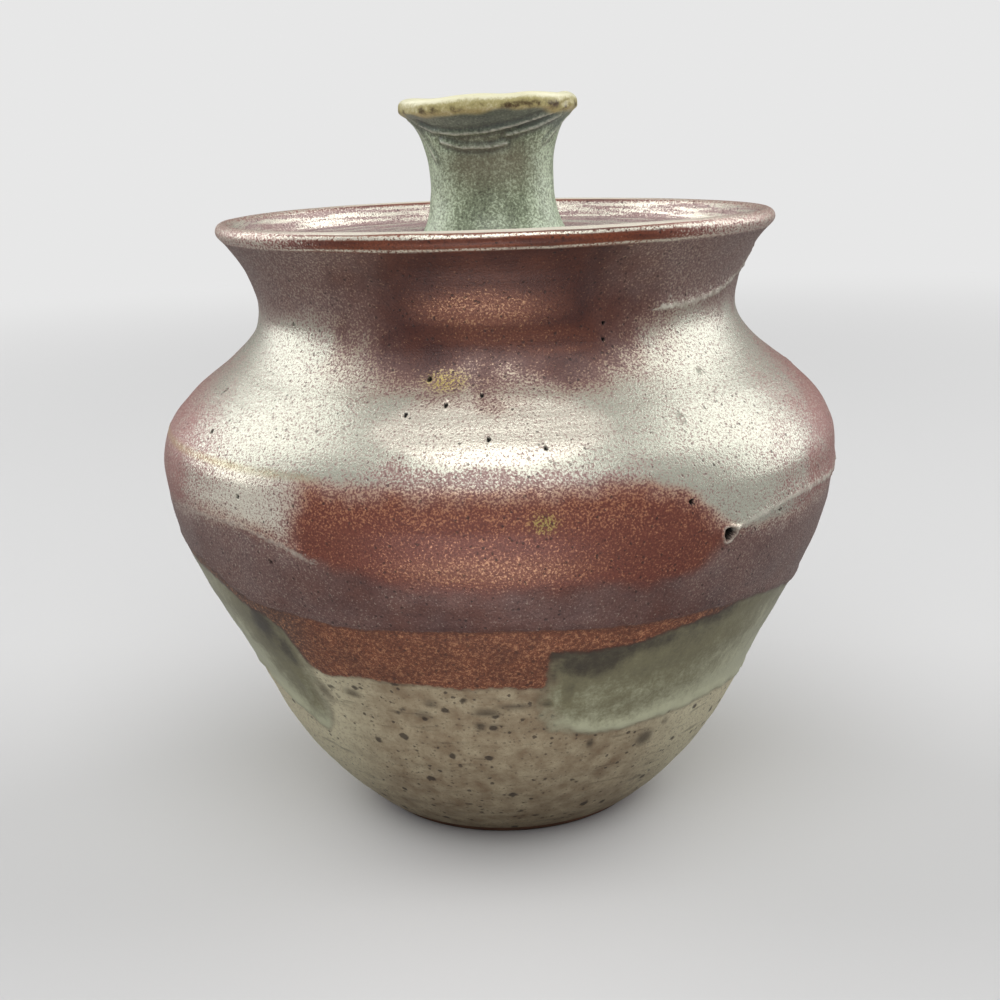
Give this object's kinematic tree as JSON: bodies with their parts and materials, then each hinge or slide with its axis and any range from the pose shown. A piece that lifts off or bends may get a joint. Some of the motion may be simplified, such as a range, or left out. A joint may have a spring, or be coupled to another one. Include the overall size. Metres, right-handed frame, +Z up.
{
  "type": "lidded pottery jar",
  "caption": "Wheel-thrown stoneware jar with a broad shoulder, flared neck, inset lid resting on an inner gallery, and a hollow trumpet-shaped knob to lift it by.",
  "frame": {"origin": "centre of the foot, on the surface that the jar stands on", "axes": "+Z up along the throwing axis, through the foot, neck and knob; +X to the right in the picture's view; the picture looks along +Y"},
  "size_m": [0.16, 0.16, 0.1695],
  "materials": {
    "jar_glaze": "satin oxblood glaze over shoulder and belly, grey-green overlap low on one side, speckled oatmeal body near the foot",
    "lid_glaze": "satin mauve-red glaze with throwing rings",
    "knob_glaze": "speckled grey-green glaze with a straw-brown lip"
  },
  "bodies": {
    "jar": {"jar_body": "jar_glaze"},
    "lid": {"lid": "lid_glaze", "lid_knob": "knob_glaze"}
  },
  "joints": [
    {"name": "lid_lift", "type": "slide", "parent": "jar", "child": "lid", "axis": [0, 0, 1], "range_m": [0, 0.08]}
  ]
}
